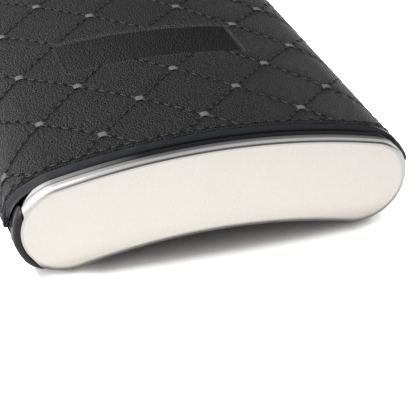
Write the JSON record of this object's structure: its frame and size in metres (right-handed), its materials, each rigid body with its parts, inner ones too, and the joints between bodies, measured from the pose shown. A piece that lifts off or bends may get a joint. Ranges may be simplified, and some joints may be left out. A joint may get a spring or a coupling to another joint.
{
  "type": "hip flask",
  "caption": "Curved steel hip flask in a quilted leather wrap, with a screw cap held on a hinged arm.",
  "frame": {"origin": "middle of the length and of the width, on the surface that the flask lies on with its hollow back down", "axes": "+Y from the bottom plate to the cap, +Z out of the bulging front face, +X across the width"},
  "size_m": [0.0963, 0.1427, 0.0283],
  "materials": {
    "steel_satin": "fine satin",
    "steel_polished": "polished",
    "leather_quilted": "pebble grain, semi-gloss",
    "leather_hem": "smooth, edge painted",
    "board_liner": "matt board",
    "cap_liner": "moulded",
    "seal": "silicone"
  },
  "bodies": {
    "flask": {"body_shell": "steel_polished", "bottom_pan": "steel_satin", "shoulder_plate": "steel_polished", "neck_spout": "steel_polished", "neck_collar": "steel_polished", "wrap_liner": "board_liner", "leather_wrap": "leather_quilted", "hem_bottom": "leather_hem", "hem_top": "leather_hem", "seam_overlap": "leather_quilted", "hinge_bracket": "steel_polished"},
    "pin": {"hinge_pin": "steel_polished"},
    "arm": {"hinge_arm": "steel_polished"},
    "cap": {"swivel_rivet": "steel_polished", "swivel_washer": "steel_polished", "cap_shell": "steel_polished", "cap_insert": "cap_liner", "cap_gasket": "seal"}
  },
  "joints": [
    {"name": "pin_lift", "type": "slide", "parent": "flask", "child": "pin", "axis": [0, 1, 0], "range_m": [0, 0.0026]},
    {"name": "cap_swing", "type": "hinge", "parent": "pin", "child": "arm", "pos_m": [-0.01435, 0.05885, 0.0163], "axis": [0, 0, 1], "range_deg": [0, 115]},
    {"name": "cap_spin", "type": "hinge", "parent": "arm", "child": "cap", "pos_m": [0.00065, 0.06385, 0.0163], "axis": [0, 1, 0], "range_deg": [0, 720]}
  ],
  "couplings": [
    {"joint": "pin_lift", "follows": "cap_spin", "m_per_rad": 0.0002069}
  ]
}
